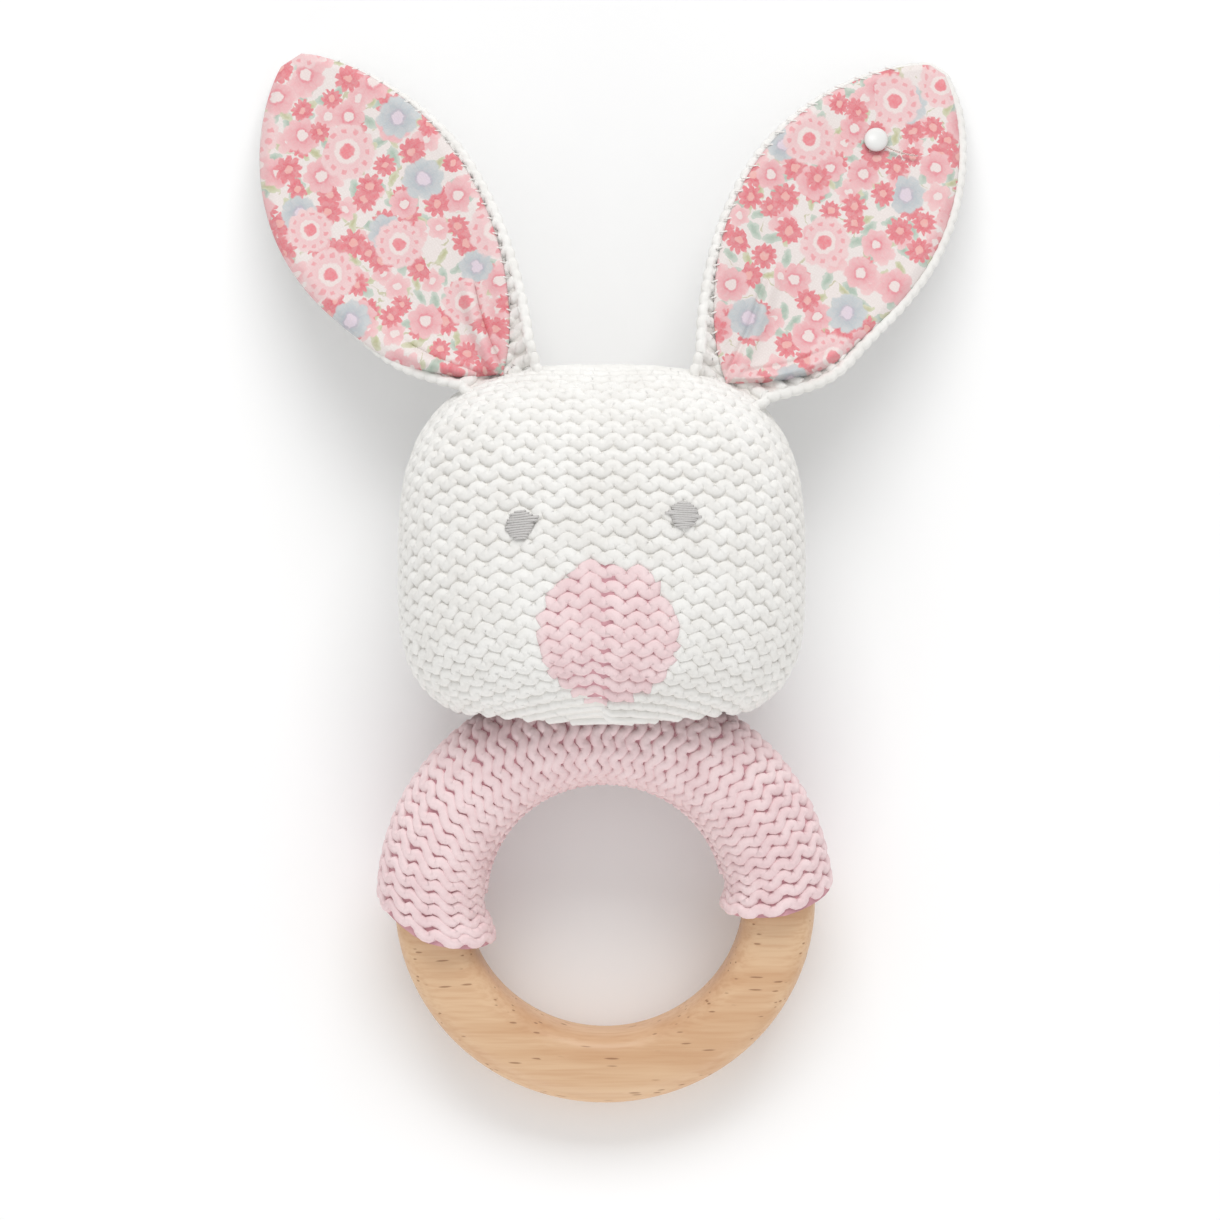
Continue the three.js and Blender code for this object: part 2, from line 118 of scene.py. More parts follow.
# ---------- knitting ----------
YARN_STEPS = 10  # points along a strand in each stitch
YARN_SIDES = 7  # points round a strand
YARN_SHIFT = 37.0  # keeps the winding of neighbouring strands apart
HEAD_STITCHES = 50
HEAD_ROW = 2.45  # from one row to the next
HEAD_LINING_DEPTH = 0.78
SLEEVE_STITCHES = 13
SLEEVE_ROWS = 46
SLEEVE_LINING_DEPTH = 0.85
EAR_STITCH = 3.7
EAR_ROW = 2.4
EAR_LINING_INSET, EAR_LINING_LIFT = 1.1, -0.8
COTTON_THICKNESS = 0.35

rng = np.random.default_rng(RANDOM_SEED)

low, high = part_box("wood_ring")
ORIGIN = np.array([(low.x + high.x) / 2, (low.y + high.y) / 2, 0.0]) / MM
RING_HEIGHT = (low.z + high.z) / 2 / MM
NECK_Y = RING_CENTRELINE * math.cos(RING_TILT)
NECK_Z = RING_HEIGHT + RING_CENTRELINE * math.sin(RING_TILT)


def placed(points):
    """Millimetres about the ring's centre to metres in the frame."""
    return (np.asarray(points, float) + ORIGIN) * MM


def unit(vectors):
    return vectors / np.maximum(np.linalg.norm(vectors, axis=-1, keepdims=True), 1e-12)


def smoothstep(low_edge, high_edge, value):
    share = np.clip((value - low_edge) / (high_edge - low_edge), 0, 1)
    return share * share * (3 - 2 * share)


def xyz(x, y, z):
    """Points from their coordinates, which may be of any shapes that fit together."""
    return np.stack(np.broadcast_arrays(x, y, z), axis=-1)


def upward(points):
    """The direction straight up, at every point."""
    return np.broadcast_to(np.array([0.0, 0.0, 1.0]), points.shape)


def full_turn(count):
    """Angles at even steps round a full turn."""
    return np.arange(count) / count * TURN


def run_along(points):
    """How far along a line each of its points lies."""
    return np.concatenate([[0], np.cumsum(np.linalg.norm(np.diff(points, axis=0), axis=1))])


# ---------- meshes ----------
def in_scene(name, data):
    """A new object in the scene."""
    obj = bpy.data.objects.new(name, data)
    bpy.context.scene.collection.objects.link(obj)
    return obj


def dress(obj, material):
    """Gives an object one material in place of any that it has."""
    obj.data.materials.clear()
    obj.data.materials.append(material)


def attach(obj, body, slot_name, *nodes):
    """Puts a piece on a body and hides the CAD nodes named, which it stands in for. slot_name is not used.
    """
    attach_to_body(obj, body)
    if nodes:
        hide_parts(*nodes)


def mesh_of(name, points, faces, material, uvs=None):
    """A smooth mesh object from points in millimetres and a list of (count, corners) index arrays."""
    corners = np.concatenate([f.ravel() for f in faces]).astype(np.int32)
    totals = np.concatenate([np.full(len(f), f.shape[1]) for f in faces]).astype(np.int32)
    starts = np.concatenate([[0], np.cumsum(totals)[:-1]]).astype(np.int32)
    mesh = bpy.data.meshes.new(name)
    mesh.vertices.add(len(points))
    mesh.vertices.foreach_set("co", placed(points).astype(np.float32).ravel())
    mesh.loops.add(len(corners))
    mesh.loops.foreach_set("vertex_index", corners)
    mesh.polygons.add(len(totals))
    mesh.polygons.foreach_set("loop_start", starts)
    mesh.polygons.foreach_set("loop_total", totals)
    mesh.update(calc_edges=True)
    mesh.polygons.foreach_set("use_smooth", np.ones(len(totals), bool))
    if uvs is not None:
        layer = mesh.uv_layers.new(name="Cloth")
        layer.data.foreach_set("uv", np.asarray(uvs, np.float32)[corners].ravel())
    mesh.materials.append(material)
    mesh.validate()
    return in_scene(name, mesh)


def strands(name, paths, normals, radius, material, sides=YARN_SIDES, closed=False, kept=None, flat=1.0):
    """Round yarns along paths, an array (yarns, steps, 3). kept is true for the spans that are there."""
    rows, steps = paths.shape[:2]
    if closed:
        tangents = np.roll(paths, -1, axis=1) - np.roll(paths, 1, axis=1)
    else:
        tangents = np.gradient(paths, axis=1)
    tangents = unit(tangents)
    across = unit(np.cross(normals, tangents))
    up = np.cross(tangents, across)
    angle = full_turn(sides)
    thick = np.broadcast_to(np.asarray(radius, float), (rows, steps))[..., None, None]
    rings = paths[:, :, None] + thick * (
        np.cos(angle)[:, None] * across[:, :, None] + flat * np.sin(angle)[:, None] * up[:, :, None]
    )
    if kept is None:
        kept = np.ones((rows, steps if closed else steps - 1), bool)
    row, span = np.nonzero(kept)
    first = ((row * steps + span) * sides)[:, None]
    second = ((row * steps + (span + 1) % steps) * sides)[:, None]
    k = np.arange(sides)
    k_next = (k + 1) % sides
    walls = np.stack([first + k, second + k, second + k_next, first + k_next], axis=-1).reshape(-1, 4)
    before = np.roll(kept, 1, axis=1) if closed else np.pad(kept, ((0, 0), (1, 0)))[:, :-1]
    beyond = np.roll(kept, -1, axis=1) if closed else np.pad(kept, ((0, 0), (0, 1)))[:, 1:]
    faces = [walls]
    for ends, at_start in [(kept & ~before, True), (kept & ~beyond, False)]:
        row, span = np.nonzero(ends)
        if len(row):
            at = span if at_start else (span + 1) % steps
            order = k if at_start else k[::-1]
            faces.append((row * steps + at)[:, None] * sides + order)
    lengths = np.linalg.norm(np.diff(paths, axis=1, prepend=paths[:, :1]), axis=2).cumsum(axis=1)
    along = lengths[..., None] + YARN_SHIFT * np.arange(rows)[:, None, None]
    around = np.minimum(k, sides - k) / sides * 2
    uvs = np.stack(np.broadcast_arrays(along, around), axis=-1).reshape(-1, 2)
    used = np.unique(np.concatenate([f.ravel() for f in faces]))
    faces = [np.searchsorted(used, f) for f in faces]
    return mesh_of(name, rings.reshape(-1, 3)[used], faces, material, uvs[used])


def grid_faces(rows, columns, closed=False):
    wide = columns if closed else columns + 1
    i, j = np.meshgrid(np.arange(rows), np.arange(columns), indexing="ij")
    j_next = (j + 1) % wide
    low_row, high_row = i * wide, (i + 1) * wide
    return np.stack([low_row + j, low_row + j_next, high_row + j_next, high_row + j], -1).reshape(-1, 4)


def cut_out(name, points, faces, material):
    """A mesh of the given faces of a grid, with only the points that they use."""
    used, part = np.unique(faces, return_inverse=True)
    return mesh_of(name, points[used], [part.reshape(-1, 4)], material)


class Fabric:
    """A curved piece of knitting: a dense grid of points over its rows and stitches, read in between."""

    def __init__(self, points, rows, stitches, closed):
        self.points = points
        self.rows = rows
        self.stitches = stitches
        self.closed = closed
        along = np.gradient(points, axis=1)
        if closed:
            along[:, 0] = along[:, -1] = points[:, 1] - points[:, -2]
        self.normals = unit(np.cross(along, np.gradient(points, axis=0)))

    def at(self, stitch, row, lift):
        """Points at stitch and row numbers, lifted from the surface, and the surface's normals there."""
        tall, wide = self.points.shape[0] - 1, self.points.shape[1] - 1
        if self.closed:
            stitch = np.mod(stitch, self.stitches)
        u = np.clip(stitch / self.stitches * wide, 0, wide - 1e-6)
        v = np.clip(row / self.rows * tall, 0, tall - 1e-6)
        i, j = v.astype(int), u.astype(int)
        fv, fu = (v - i)[..., None], (u - j)[..., None]

        def read(grid):
            low_row = grid[i, j] * (1 - fu) + grid[i, j + 1] * fu
            high_row = grid[i + 1, j] * (1 - fu) + grid[i + 1, j + 1] * fu
            return low_row * (1 - fv) + high_row * fv

        normals = unit(read(self.normals))
        lift = np.broadcast_to(np.asarray(lift, float), stitch.shape)
        return read(self.points) + normals * lift[..., None], normals

    def lining(self, depth):
        """The points and faces of a coarser skin at a depth below the surface."""
        grid = self.points[::2, ::5] - depth * self.normals[::2, ::5]
        faces = grid_faces(grid.shape[0] - 1, grid.shape[1] - 1, closed=True)
        return grid[:, :-1].reshape(-1, 3), faces


def knit_paths(fabric, rows, depth, wave, square, uneven=0.05):
    """The waving strand of each row: rows are row numbers, wave is the half-height in rows."""
    stitch = np.arange(fabric.stitches * YARN_STEPS) / YARN_STEPS
    phase = stitch * TURN
    rows = np.asarray(rows, float)[:, None]
    places = np.arange(fabric.stitches + 1)
    wobble = rng.normal(0, uneven, (3, rows.shape[0], fabric.stitches + 1))
    wobble[:, :, -1] = wobble[:, :, 0]
    aside, along, lifted = (np.array([np.interp(stitch, places, line) for line in kind]) for kind in wobble)
    straight, _ = fabric.at(*np.broadcast_arrays(stitch, rows), 0)
    gauge = np.linalg.norm(np.diff(straight, axis=1, append=straight[:, :1]), axis=2) * YARN_STEPS
    room = smoothstep(1.5, 3.4, gauge)
    stitches = stitch + room * (square / TURN * np.sin(2 * phase) + aside)
    heights = rows + wave * room * np.cos(phase) * (1 + 3 * along) + 0.8 * along
    lift = -depth + 0.8 * lifted
    return fabric.at(stitches, heights, lift)


# ---------- materials ----------
class Nodes:
    """A material's node tree, with short ways to add and join its nodes."""

    def __init__(self, name):
        self.material = bpy.data.materials.new(name)
        self.material.use_nodes = True
        self.tree = self.material.node_tree
        self.shader = self.tree.nodes["Principled BSDF"]

    def add(self, kind, _inputs=None, **settings):
        node = self.tree.nodes.new("ShaderNode" + kind)
        for key, value in settings.items():
            setattr(node, key, value)
        for key, value in (_inputs or {}).items():
            self.put(node.inputs[key], value)
        return node

    def put(self, socket, value):
        if isinstance(value, bpy.types.NodeSocket):
            self.tree.links.new(value, socket)
        else:
            socket.default_value = value

    def math(self, operation, a, b=0.0, c=0.0):
        node = self.add("Math", {0: a, 1: b, 2: c}, operation=operation)
        return node.outputs[0]

    def times(self, a, b):
        return self.math("MULTIPLY", a, b)

    def minus(self, a, b):
        return self.math("SUBTRACT", a, b)

    def vector(self, operation, a, b=(0, 0, 0)):
        node = self.add("VectorMath", operation=operation)
        self.put(node.inputs[0], a)
        if operation == "SCALE":
            self.put(node.inputs["Scale"], b)
        else:
            self.put(node.inputs[1], b)
        return node.outputs["Value" if operation in ("LENGTH", "DISTANCE", "DOT_PRODUCT") else 0]

    def place(self):
        return self.add("TexCoord").outputs["Object"]

    def cloth(self):
        return self.add("UVMap", uv_map="Cloth").outputs[0]

    def split(self, vector):
        return self.add("SeparateXYZ", {0: vector}).outputs

    def blend(self, factor, a, b, kind="MIX"):
        node = self.add("Mix", data_type="RGBA", blend_type=kind)
        self.put(node.inputs[0], factor)
        self.put(node.inputs[6], a)
        self.put(node.inputs[7], b)
        return node.outputs[2]

    def ramp(self, value, low_edge, high_edge, low_value=0.0, high_value=1.0):
        node = self.add("MapRange", interpolation_type="SMOOTHSTEP")
        for key, number in zip(range(5), (value, low_edge, high_edge, low_value, high_value)):
            self.put(node.inputs[key], number)
        return node.outputs[0]

    def tones(self, value, deep, pale):
        return self.blend(self.ramp(value, 0.3, 0.7), rgb(deep), rgb(pale))

    def noise(self, vector, scale, detail=2.0, roughness=0.5):
        return self.add(
            "TexNoise", {"Vector": vector, "Scale": scale, "Detail": detail, "Roughness": roughness}
        ).outputs["Fac"]

    def bump(self, height, distance, strength=1.0, under=None):
        node = self.add("Bump", {"Height": height, "Distance": distance, "Strength": strength})
        if under is not None:
            self.put(node.inputs["Normal"], under)
        return node.outputs[0]

    def sheen(self, weight, tint):
        for key, value in (("Weight", weight), ("Roughness", 0.6), ("Tint", rgb(tint))):
            self.shader.inputs[f"Sheen {key}"].default_value = value

    def finish(self, colour, roughness, normal=None):
        self.put(self.shader.inputs["Base Color"], colour)
        self.put(self.shader.inputs["Roughness"], roughness)
        if normal is not None:
            self.put(self.shader.inputs["Normal"], normal)
        return self.material


def rgb(code):
    """A linear colour from the usual six-figure code."""
    values = [int(code[k : k + 2], 16) / 255 for k in (0, 2, 4)]
    return (*[v / 12.92 if v <= 0.04045 else ((v + 0.055) / 1.055) ** 2.4 for v in values], 1.0)


def yarn_material(name, pale, deep, ply=2.6, fuzz=0.35):
    """Soft cotton yarn: two plies that wind round each other, loose fibres and a slight unevenness."""
    n = Nodes(name)
    place = n.place()
    uv = n.cloth()
    along, around = n.split(uv)[:2]
    winding = n.math("ADD", n.times(along, TURN / ply), n.times(around, math.pi))
    twist = n.math("ABSOLUTE", n.math("SINE", winding))
    fibre = n.noise(n.vector("MULTIPLY", uv, (3.0, 9.0, 1.0)), 2.2, 4.0, 0.65)
    patch = n.noise(place, 260.0, 2.0)
    broad = n.noise(place, 45.0, 1.0)
    tone = n.math("ADD", n.times(patch, 0.55), n.times(broad, 0.45))
    colour = n.blend(n.ramp(tone, 0.36, 0.64), rgb(deep), rgb(pale))
    colour = n.blend(n.ramp(fibre, 0.3, 0.75, 0.22, 0.0), colour, rgb(deep))
    normal = n.bump(twist, 0.00012, 0.35)
    normal = n.bump(fibre, 0.00010, 0.5, normal)
    n.sheen(fuzz, pale)
    return n.finish(colour, n.ramp(fibre, 0.2, 0.8, 0.78, 0.95), normal)


def painted_shade_lining_material(name, shade, deep):
    """The inside of the knitting, seen in the holes between the strands. Its colours are darker than the
    yarn's: painted shade in those holes.
    """
    n = Nodes(name)
    place = n.place()
    lumps = n.noise(place, 420.0, 3.0, 0.6)
    colour = n.tones(lumps, deep, shade)
    n.sheen(0.2, shade)
    return n.finish(colour, n.ramp(lumps, 0.2, 0.8, 0.85, 0.98), n.bump(lumps, 0.0003, 0.6))


def wood_material():
    """Oiled beech: fine straight grain along X with short dark flecks."""
    n = Nodes("beech")
    place = n.place()
    stretched = n.vector("MULTIPLY", place, (0.10, 1.0, 1.0))
    bands = n.noise(stretched, 190.0, 3.0, 0.55)
    fine = n.noise(n.vector("MULTIPLY", place, (0.045, 1.0, 1.0)), 1500.0, 2.0, 0.6)
    colour = n.blend(n.ramp(bands, 0.32, 0.7), rgb("cea47d"), rgb("dcb994"))
    colour = n.blend(n.ramp(fine, 0.35, 0.75, 0.0, 0.35), colour, rgb("bd8a62"))
    x, y, z = n.split(place)
    bent = n.math("MULTIPLY_ADD", n.noise(place, 30.0, 1.0), 0.004, y)
    turned = n.add("CombineXYZ", {0: x, 1: bent, 2: z}).outputs[0]
    short = n.vector("MULTIPLY", turned, (250.0, 1900.0, 1900.0))
    cells = n.add("TexVoronoi", {"Vector": short, "Scale": 1.0, "Randomness": 1.0})
    chosen = n.add("SeparateColor", {0: cells.outputs["Color"]}).outputs[0]
    spot = n.ramp(cells.outputs["Distance"], 0.20, 0.38, 1.0, 0.0)
    fleck = n.times(spot, n.math("GREATER_THAN", chosen, 0.86))
    colour = n.blend(n.times(fleck, 0.7), colour, rgb("8a5c38"))
    normal = n.bump(n.minus(n.times(fine, 0.4), fleck), 0.00006, 0.6)
    n.shader.inputs["Coat Weight"].default_value = 0.12
    return n.finish(colour, n.ramp(bands, 0.3, 0.7, 0.42, 0.56), normal)


def scatter(n, uv, base, kind):
    """Scatters one kind of flower over the base colour, at the points of an uneven grid."""
    spacing, radius = kind["spacing"], kind["radius"]
    grid = n.vector("SCALE", n.vector("ADD", uv, kind["shift"]), 1.0 / spacing)
    cells = n.add("TexVoronoi", {"Vector": grid, "Scale": 1.0, "Randomness": 0.8}, voronoi_dimensions="2D")
    away = n.vector("SCALE", n.vector("SUBTRACT", grid, cells.outputs["Position"]), spacing)
    chosen, growth, turn = n.add("SeparateColor", {0: cells.outputs["Color"]}).outputs
    x, y = n.split(away)[:2]
    turned = n.math("MULTIPLY_ADD", turn, TURN, n.math("ARCTAN2", y, x))
    petal = n.math("ABSOLUTE", n.math("COSINE", n.times(turned, kind["petals"] / 2)))
    size = n.math("MULTIPLY_ADD", growth, 0.3, 0.85)
    longways = n.math("COSINE", turned)
    sideways = n.times(n.math("SINE", turned), kind.get("slim", 1.0))
    squares = n.math("ADD", n.math("POWER", longways, 2.0), n.math("POWER", sideways, 2.0))
    distance = n.times(n.vector("LENGTH", away), n.math("SQRT", squares))
    far = n.math("DIVIDE", distance, n.times(size, radius))
    reach = n.math("MULTIPLY_ADD", petal, kind["depth"], 1 - kind["depth"])
    there = n.math("LESS_THAN", chosen, kind["share"])
    inside = n.times(n.ramp(n.minus(far, reach), -0.08, 0.06, 1.0, 0.0), there)
    shade = n.blend(n.ramp(far, 0.2, 0.95), kind["inner"], kind["outer"])
    cleft = n.times(n.ramp(petal, 0.0, 0.35, 0.35, 0.0), n.ramp(far, 0.2, 0.5))
    shade = n.blend(cleft, shade, kind["inner"])
    result = n.blend(inside, base, shade)
    for inner, outer, colour in kind["rings"]:
        band = n.times(n.ramp(far, outer - 0.04, outer + 0.04, 1.0, 0.0), there)
        band = n.times(band, n.ramp(far, inner - 0.04, inner + 0.04)) if inner else band
        result = n.blend(band, result, colour)
    if kind.get("dots"):
        row = n.ramp(n.math("ABSOLUTE", n.minus(far, 0.72)), 0.05, 0.1, 1.0, 0.0)
        dot = n.times(n.times(n.ramp(petal, 0.72, 0.9), row), there)
        result = n.blend(n.times(dot, 0.8), result, kind["dots"])
    return result


def print_material():
    """White cotton with a loose scatter of small daisies, blossoms and leaves, and a fine plain weave."""
    n = Nodes("floral_cotton")
    uv = n.cloth()
    waver = n.add("TexNoise", {"Vector": uv, "Scale": 0.9, "Detail": 2.0}).outputs["Color"]
    uv = n.vector("ADD", uv, n.vector("SCALE", n.vector("SUBTRACT", waver, (0.5, 0.5, 0.5)), 1.1))
    stem = n.noise(n.vector("ADD", uv, (4.0, 9.0, 0.0)), 0.22, 1.0)
    stems = n.ramp(n.math("ABSOLUTE", n.minus(stem, 0.5)), 0.008, 0.018, 0.75, 0.0)
    stems = n.times(stems, n.ramp(n.noise(uv, 0.35, 1.0), 0.5, 0.58))
    colour = n.blend(stems, rgb("f0ebe9"), rgb("b7bb84"))
    sage = {"inner": rgb("a2bfae"), "outer": rgb("c3d6ca"), "slim": 2.3}
    olive = {"inner": rgb("bcc190"), "outer": rgb("d2d8b8"), "slim": 2.6}
    coral = {"inner": rgb("e05d6e"), "outer": rgb("ea7581")}
    rose = {"inner": rgb("ea9aa4"), "outer": rgb("f2bcc1")}
    blush = {"inner": rgb("f0b0b7"), "outer": rgb("f4ccce")}
    pale = {"inner": rgb("f1c2c7"), "outer": rgb("f3d2d4"), "dots": rgb("f08f9a")}
    mist = {"inner": rgb("aebcc6"), "outer": rgb("c6d2d6")}
    cream, peach, lilac = rgb("f2e6e4"), rgb("f2aca6"), rgb("e2d6e6")
    # A flower's rings have an inner and an outer edge, as shares of its radius, and a colour.
    names = ("spacing", "radius", "petals", "depth", "share", "shift", "rings")
    for colours, *sizes in (
        (sage, 3.9, 1.8, 0, 0.0, 0.80, (13, 2, 0), []),
        (olive, 4.3, 1.6, 0, 0.0, 0.65, (3, 72, 0), []),
        (blush, 6.0, 2.35, 5, 0.30, 0.75, (61, 12, 0), [(0, 0.28, cream)]),
        (coral, 5.1, 2.1, 11, 0.30, 0.70, (9, 33, 0), [(0, 0.30, peach)]),
        (rose, 7.4, 2.9, 7, 0.18, 0.50, (40, 5, 0), [(0.3, 0.42, rgb("ea8795")), (0, 0.30, cream)]),
        (coral, 8.4, 2.2, 9, 0.34, 0.70, (77, 51, 0), [(0, 0.28, peach)]),
        (mist, 11.0, 3.3, 8, 0.14, 0.50, (21, 17, 0), [(0.3, 0.38, rgb("b7b6c6")), (0, 0.30, lilac)]),
        (pale, 12.4, 4.4, 11, 0.10, 0.62, (3, 1, 0), [(0.26, 0.44, cream), (0, 0.26, rgb("ee7885"))]),
    ):
        colour = scatter(n, uv, colour, {**colours, **dict(zip(names, sizes))})
    wave = {"Vector": uv, "Scale": 0.72, "Distortion": 0.6}
    weave = n.times(*[n.add("TexWave", wave, bands_direction=way).outputs["Fac"] for way in "XY"])
    faded = n.noise(uv, 1.1, 3.0, 0.6)
    colour = n.blend(n.ramp(weave, 0.0, 1.0, 0.12, 0.0), colour, rgb("eee8e7"))
    colour = n.blend(n.ramp(faded, 0.35, 0.75, 0.05, 0.30), colour, rgb("ece2e1"))
    colour = n.blend(n.ramp(weave, 0.0, 1.0, 1.0, 0.75), colour, rgb("eeeae8"), "MULTIPLY")
    n.sheen(0.15, "fff4f2")
    return n.finish(colour, n.ramp(weave, 0.0, 1.0, 0.86, 0.76), n.bump(weave, 0.00005, 0.5))


def thread_material(name, pale, deep):
    n = Nodes(name)
    uv = n.cloth()
    along, around = n.split(uv)[:2]
    twist = n.math("SINE", n.math("ADD", n.times(along, TURN / 0.7), n.times(around, TURN)))
    fibre = n.noise(n.vector("MULTIPLY", uv, (2.0, 8.0, 1.0)), 3.0, 3.0)
    colour = n.tones(fibre, deep, pale)
    n.sheen(0.15, pale)
    return n.finish(colour, n.ramp(fibre, 0.2, 0.8, 0.45, 0.62), n.bump(twist, 0.00004, 0.4))


def plastic_material(name, pale, deep, roughness, grain):
    n = Nodes(name)
    place = n.place()
    speckle = n.noise(place, grain, 3.0, 0.6)
    flow = n.noise(place, grain * 0.07, 2.0)
    colour = n.tones(flow, deep, pale)
    gloss = n.ramp(speckle, 0.2, 0.8, roughness - 0.06, roughness + 0.08)
    return n.finish(colour, gloss, n.bump(speckle, 0.00003, 0.4))


def nylon_material():
    """Clear drawn nylon, faintly streaked along its length."""
    n = Nodes("clear_nylon")
    uv = n.cloth()
    streak = n.noise(n.vector("MULTIPLY", uv, (0.4, 6.0, 1.0)), 3.0, 2.0)
    n.shader.inputs["Transmission Weight"].default_value = 0.75
    colour = n.tones(streak, "cfc0ba", "e4dad5")
    return n.finish(colour, n.ramp(streak, 0.2, 0.8, 0.12, 0.24), n.bump(streak, 0.00002, 0.3))


def fibre_material():
    n = Nodes("stuffing_fibre")
    place = n.place()
    tuft = n.noise(place, 160.0, 4.0, 0.65)
    hair = n.noise(n.vector("MULTIPLY", place, (1.0, 0.25, 1.0)), 1400.0, 3.0, 0.7)
    colour = n.tones(tuft, "d9d6cf", "f4f2ee")
    normal = n.bump(hair, 0.0002, 0.6, n.bump(tuft, 0.0008, 0.5))
    n.sheen(0.4, "ffffff")
    return n.finish(colour, n.ramp(hair, 0.2, 0.8, 0.88, 0.98), normal)


WHITE_YARN = yarn_material("white_yarn", "efeeeb", "e7e5e1")
PINK_YARN = yarn_material("pink_yarn", "f1dbdc", "e6cacc")
# The lining colours are darker than their yarns: painted shade for the holes between the strands.
WHITE_LINING_PAINTED_SHADE = painted_shade_lining_material("white_lining_painted_shade", "eae8e4", "dfddd8")
PINK_LINING_PAINTED_SHADE = painted_shade_lining_material("pink_lining_painted_shade", "d6a4ab", "bd8b94")
WOOD = wood_material()
PRINT = print_material()
GREY_THREAD = thread_material("grey_thread", "d0cecc", "b8b5b3")
WHITE_THREAD = thread_material("white_thread", "f4f1ee", "e2ddd8")
TAG_PLASTIC = plastic_material("tag_plastic", "e6e6e4", "dcdcda", 0.35, 900.0)
CLEAR_NYLON = nylon_material()
BOX_PLASTIC = plastic_material("box_plastic", "eef0ee", "dfe3e0", 0.42, 700.0)
PELLET_PLASTIC = plastic_material("pellet_plastic", "9fb9c6", "86a5b5", 0.38, 700.0)
FIBRE = fibre_material()


# ---------- the head's surface ----------
def head_points(elevation, azimuth):
    """The head's outside, by the angles of a unit ball that has its poles at the chin and the crown."""
    rise = np.sign(elevation) * np.abs(np.sin(elevation)) ** (2 / 3)
    size = np.abs(rise)
    power = np.where(rise > 0, CROWN_POWER, CHIN_POWER)
    reach = np.where(rise > 0, HEAD_ABOVE, HEAD_BELOW)
    width = HEAD_HALF_WIDTH * np.maximum(1 - size**power, 0) ** (1 / power)
    depth = HEAD_HALF_DEPTH * np.maximum(1 - size**DEPTH_POWER, 0) ** (1 / DEPTH_POWER)
    c, s = np.cos(azimuth), np.sin(azimuth)
    x = HEAD_X + np.sign(c) * np.abs(c) ** (2 / ROW_POWER) * width
    z = HEAD_Z + np.sign(s) * np.abs(s) ** (2 / ROW_POWER) * depth
    return xyz(x, HEAD_Y + rise * reach, np.maximum(z, 0))


def head_row(y, inset=0.0):
    """Half the width and half the depth of the head at a height."""
    reach = np.where(y > HEAD_Y, HEAD_ABOVE, HEAD_BELOW) - inset
    size = np.clip(np.abs(y - HEAD_Y) / reach, 0, 1)
    power = np.where(y > HEAD_Y, CROWN_POWER, CHIN_POWER)
    width = (HEAD_HALF_WIDTH - inset) * (1 - size**power) ** (1 / power)
    depth = (HEAD_HALF_DEPTH - inset) * (1 - size**DEPTH_POWER) ** (1 / DEPTH_POWER)
    return width, depth


def face_height(x, y):
    width, depth = head_row(y)
    across = np.clip(np.abs(x - HEAD_X) / np.maximum(width, 1e-6), 0, 1)
    return HEAD_Z + depth * (1 - across**ROW_POWER) ** (1 / ROW_POWER)


def head_fabric():
    """The head's knitting, as plane cuts through a unit ball that stands for the head.

    On the ball each line from chin to crown is measured by its own length. The sides are
    further from the chin than the face is, so the rows droop towards them, and the last
    row closes into a slit along the crown.
    """
    elevations = np.linspace(-math.pi / 2, math.pi / 2, 1501)
    azimuths = np.linspace(0, math.pi / 2, 61)
    shares = np.linspace(0, 1, 401)
    table = np.empty((len(azimuths), len(shares)))
    reach = np.empty(len(azimuths))
    for k, azimuth in enumerate(azimuths):
        points = head_points(elevations, np.full_like(elevations, azimuth))
        run = run_along(points)
        reach[k] = run[-1]
        table[k] = np.interp(shares * run[-1], run, elevations)
    rows = int(reach[-1] / HEAD_ROW)
    levels = rows * 4
    distance = np.linspace(1.0, reach[-1] - 0.7, levels + 1)
    front = (math.pi * (distance / reach[-1] - 0.5))[:, None]
    side = (math.pi * (distance / reach[0] - 0.5))[:, None]
    slope = (np.sin(front) - np.sin(side)) / np.cos(front)
    length = np.sqrt(1 + slope**2)
    offset = np.sin(side) / length
    radius = np.sqrt(1 - offset**2)
    start = np.arcsin(np.clip(slope * np.sin(side) / (length * radius), -1, 1))
    turn = start + (math.pi - 2 * start) * np.linspace(0, 1, 601)
    x = radius * np.cos(turn)
    y = np.clip(offset / length + radius * np.sin(turn) * slope / length, -1, 1)
    z = np.maximum(-offset * slope / length + radius * np.sin(turn) / length, 0)
    share = (np.arcsin(y) / math.pi + 0.5) * (len(shares) - 1)
    column = np.arctan2(z, np.abs(x)) / (math.pi / 2) * (len(azimuths) - 1)
    i = np.clip(column.astype(int), 0, len(azimuths) - 2)
    j = np.clip(share.astype(int), 0, len(shares) - 2)
    fi, fj = column - i, share - j
    elevation = (
        (table[i, j] * (1 - fj) + table[i, j + 1] * fj) * (1 - fi)
        + (table[i + 1, j] * (1 - fj) + table[i + 1, j + 1] * fj) * fi
    )
    azimuth = np.arctan2(z, x)
    front_half = head_points(elevation, azimuth)
    back_half = head_points(elevation, -azimuth)[:, ::-1]
    rings = np.concatenate([front_half, back_half[:, 1:]], axis=1)
    columns = HEAD_STITCHES * 10
    even = np.empty((levels + 1, columns + 1, 3))
    for k, ring in enumerate(rings):
        run = run_along(ring)
        want = np.linspace(0, run[-1], columns + 1)
        even[k] = np.stack([np.interp(want, run, ring[:, axis]) for axis in range(3)], axis=-1)
    return Fabric(even[:, ::-1], rows, HEAD_STITCHES, True)


def ring_place(points):
    """From the ring's own flat frame to where it lies."""
    c, s = math.cos(RING_TILT), math.sin(RING_TILT)
    x, y, z = np.moveaxis(np.asarray(points, float), -1, 0)
    return xyz(x, y * c - z * s, y * s + z * c + RING_HEIGHT)


